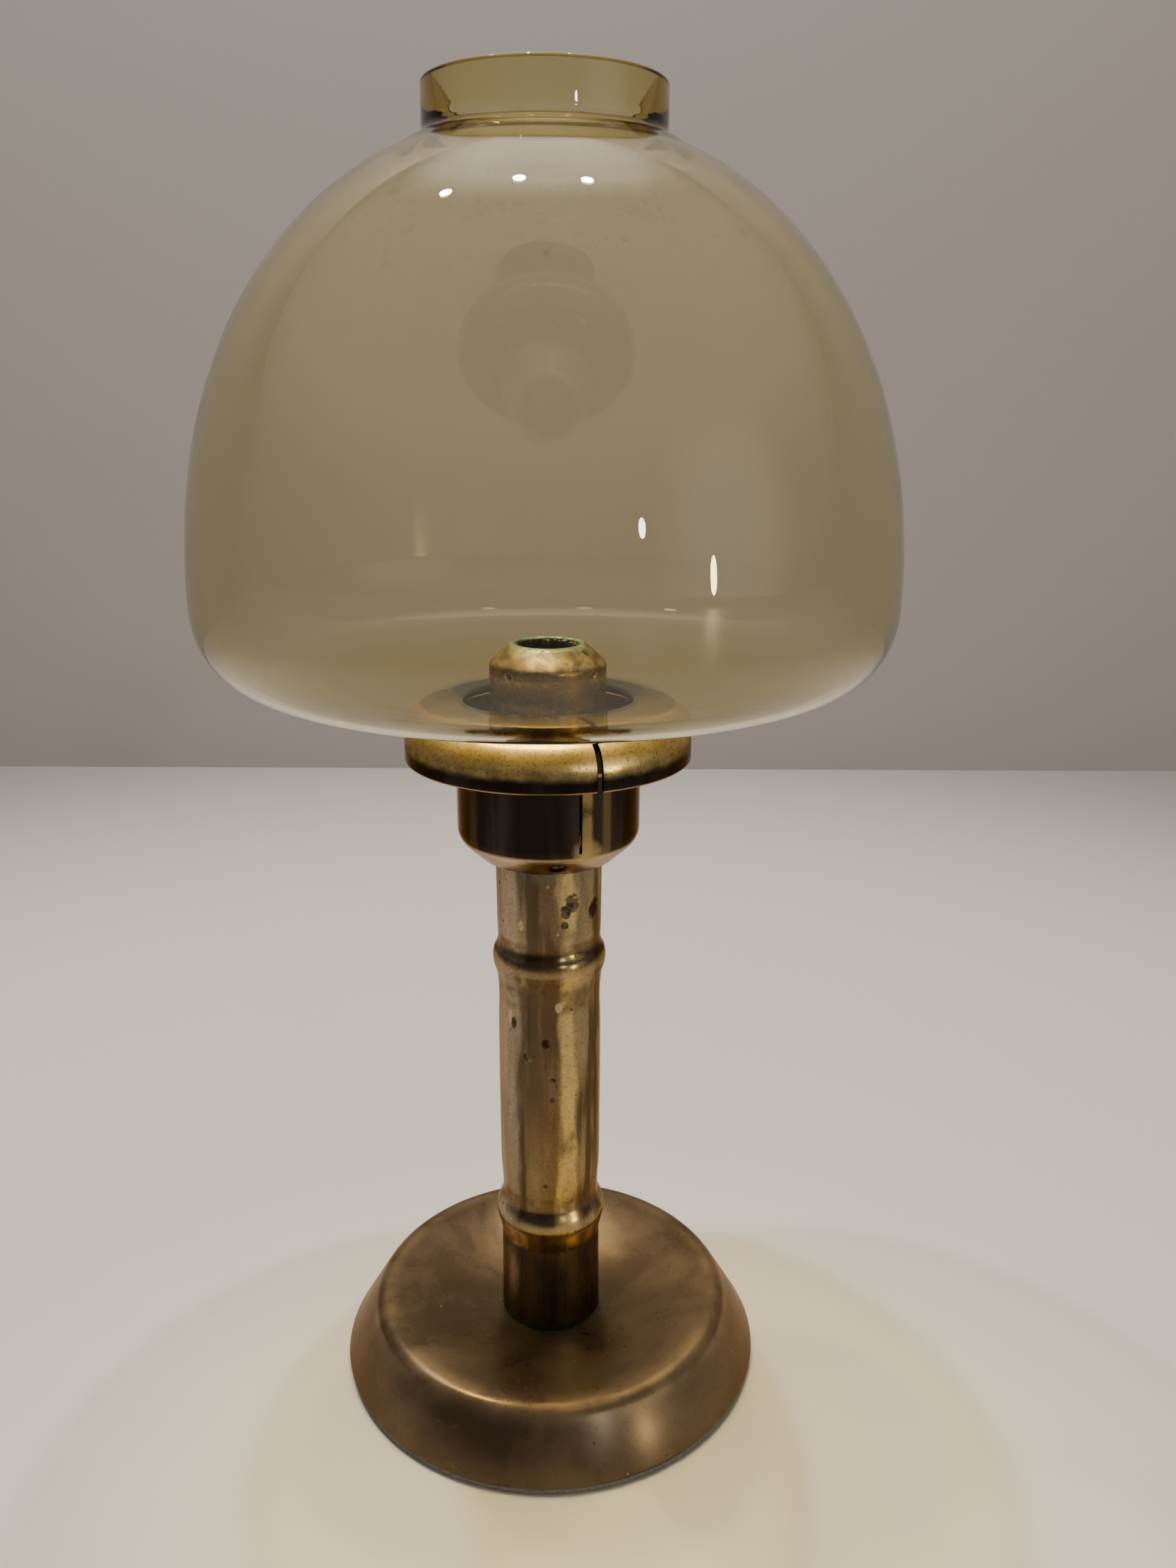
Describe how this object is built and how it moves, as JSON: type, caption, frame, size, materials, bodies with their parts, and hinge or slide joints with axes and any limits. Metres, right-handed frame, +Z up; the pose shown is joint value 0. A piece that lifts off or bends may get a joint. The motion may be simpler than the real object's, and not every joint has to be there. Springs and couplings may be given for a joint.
{
  "type": "oil lamp",
  "caption": "Free-standing brass oil lamp: round weighted base, beaded stem, flanged shade holder, pierced burner cap and a smoky glass dome that lifts off.",
  "frame": {"origin": "on the table, under the middle of the base", "axes": "+Z up along the stem, -Y towards the front"},
  "size_m": [0.1584, 0.1584, 0.3091],
  "materials": {
    "patinated_brass": "satin, brown patina",
    "aged_brass": "satin, streaked and spotted",
    "dark_brass": "polished, darkened by heat",
    "smoky_glass": "gloss, smoky amber",
    "cast_iron": "rough cast",
    "steel": "zinc plated",
    "tinplate": "bright tinplate",
    "black_rubber": "matte",
    "grey_felt": "felt",
    "wick_cotton": "braided, charred at the top"
  },
  "bodies": {
    "stand": {"base_dish": "patinated_brass", "base_weight": "cast_iron", "base_felt": "grey_felt", "clamp_bolt": "steel", "clamp_washer": "steel", "stem_plug": "steel", "stem_tube": "aged_brass", "bayonet_pin_back": "steel", "bayonet_pin_front": "steel", "shade_holder": "dark_brass", "holder_lock_ring": "aged_brass", "spring": "steel"},
    "shade": {"glass_shade": "smoky_glass"},
    "burner": {"spring_follower": "steel", "oil_tank": "tinplate", "tank_gasket": "black_rubber", "tank_lid": "aged_brass", "wick_tube": "aged_brass"},
    "wick": {"wick": "wick_cotton"},
    "cap": {"burner_cap": "aged_brass"}
  },
  "joints": [
    {"name": "shade_lift", "type": "slide", "parent": "stand", "child": "shade", "axis": [0, 0, 1], "range_m": [0, 0.03]},
    {"name": "burner_lift", "type": "slide", "parent": "stand", "child": "burner", "axis": [0, 0, 1], "range_m": [0, 0.03], "deforming": ["spring"]},
    {"name": "cap_turn", "type": "hinge", "parent": "burner", "child": "cap", "pos_m": [0, 0, 0.18], "axis": [0, 0, 1], "range_deg": [0, 30]},
    {"name": "wick_feed", "type": "slide", "parent": "burner", "child": "wick", "axis": [0, 0, 1], "range_m": [-0.002, 0.003]}
  ]
}
